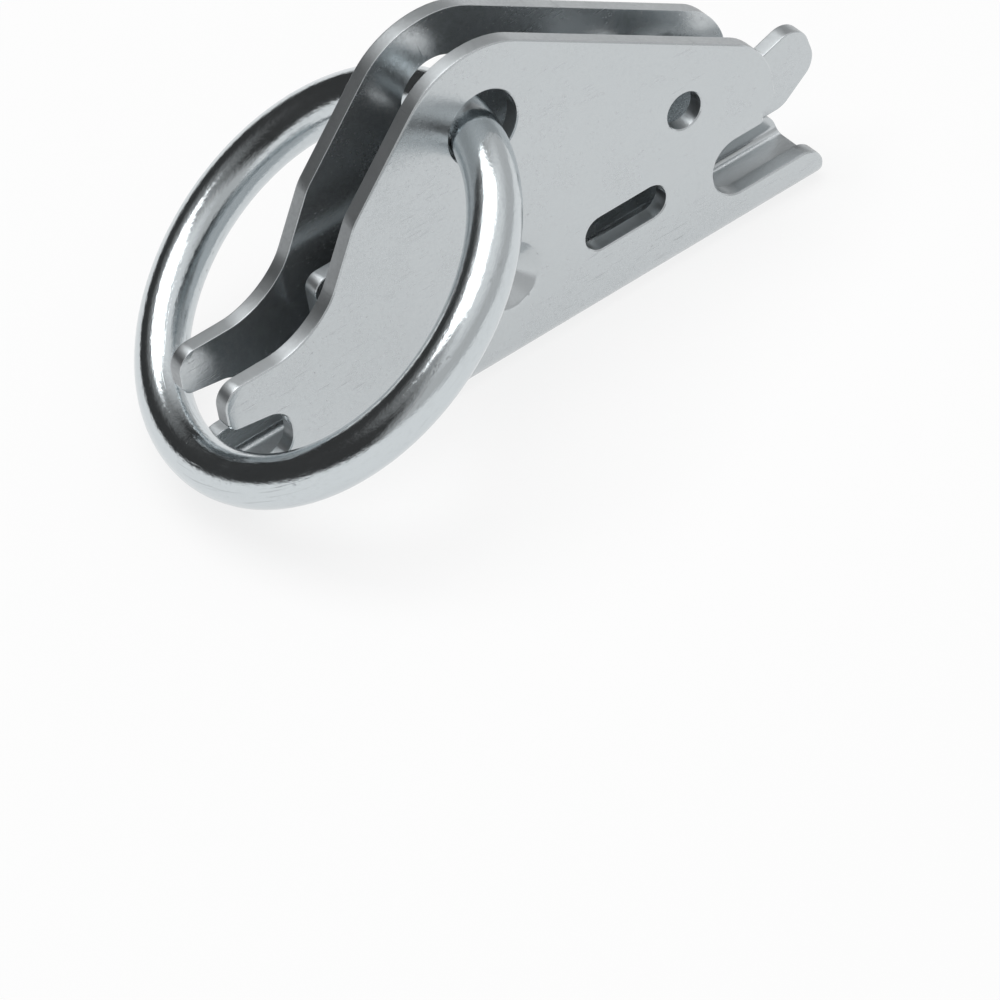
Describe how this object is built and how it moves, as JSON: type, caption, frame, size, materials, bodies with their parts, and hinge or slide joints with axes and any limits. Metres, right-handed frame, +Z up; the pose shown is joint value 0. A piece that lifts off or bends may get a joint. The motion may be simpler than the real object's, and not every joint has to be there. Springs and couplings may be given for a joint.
{
  "type": "o-ring tie-down anchor",
  "caption": "Folded steel anchor that hooks both ends of a slotted cargo track, with a sprung flat latch and a round tie ring through its side plates.",
  "frame": {"origin": "on the underside of the web, in the middle plane between the plates, straight below the ring hole", "axes": "+Z up, away from the track; +X along the base towards the latch's nose; the plates face -Y and +Y"},
  "size_m": [0.0872, 0.0516, 0.0434],
  "materials": {
    "plated_sheet": "bright zinc plate, satin on the flats",
    "plated_latch": "bright zinc plate, satin",
    "plated_ring": "bright zinc plate, glossy, drawn bar",
    "spring_steel": "plain spring wire"
  },
  "bodies": {
    "channel": {"channel_body": "plated_sheet", "latch_spring": "spring_steel"},
    "ring": {"tie_ring": "plated_ring"},
    "latch_arm": {"latch": "plated_latch"}
  },
  "joints": [
    {"name": "ring_swing", "type": "hinge", "parent": "channel", "child": "ring", "pos_m": [0, 0, 0.0327], "axis": [0, 1, 0], "range_deg": [0, 220]},
    {"name": "latch_lift", "type": "hinge", "parent": "channel", "child": "latch_arm", "pos_m": [0, 0, 0.0118], "axis": [0, -1, 0], "range_deg": [0, 12], "stiffness_Nm_per_rad": 1.6, "springref_deg": -4.01, "deforming": ["latch_spring"]}
  ]
}
